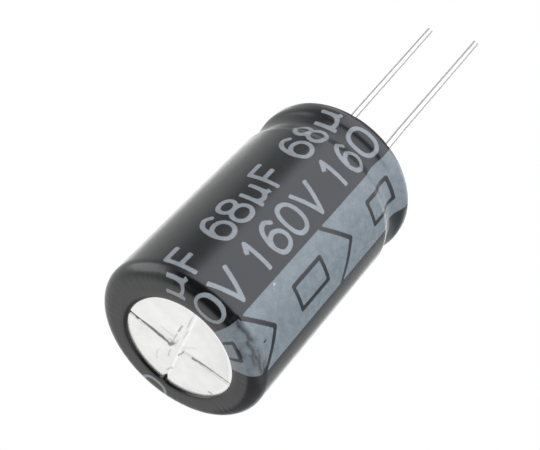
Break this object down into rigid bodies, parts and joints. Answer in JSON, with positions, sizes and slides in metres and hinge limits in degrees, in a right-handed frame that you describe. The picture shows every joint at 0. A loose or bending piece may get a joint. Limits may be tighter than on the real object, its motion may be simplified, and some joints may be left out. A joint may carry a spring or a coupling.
{
  "type": "radial electrolytic capacitor",
  "caption": "Radial electrolytic capacitor: beaded aluminium can in a printed shrink sleeve, cross-scored vent, rubber seal, wound foils and two wire leads.",
  "frame": {"origin": "midway between the two leads on the seating plane, the lowest plane of the sleeve under the curl", "axes": "+Z along the can's axis to the vented end, leads down along -Z; +X from the positive lead to the negative lead and the printed stripe"},
  "size_m": [0.0133, 0.0132, 0.0436],
  "materials": {
    "bright_aluminium": "drawn, bright",
    "sleeve_film": "shrunk film, semi-gloss",
    "stripe_ink": "printed under the gloss of the film",
    "seal_rubber": "moulded, matte",
    "tinned_wire": "bright tin over copper-clad steel",
    "tab_aluminium": "pressed",
    "etched_foil": "etched, matte",
    "cathode_foil": "satin",
    "separator_paper": "soaked in electrolyte",
    "tape_film": "adhesive tape"
  },
  "bodies": {
    "root": {"can": "bright_aluminium", "sleeve": "sleeve_film", "polarity_stripe": "stripe_ink", "rubber_seal": "seal_rubber", "positive_lead": "tinned_wire", "negative_lead": "tinned_wire", "positive_tab": "tab_aluminium", "negative_tab": "tab_aluminium", "anode_foil": "etched_foil", "inner_paper": "separator_paper", "cathode_foil": "cathode_foil", "outer_paper": "separator_paper", "winding_tape": "tape_film"}
  },
  "joints": []
}
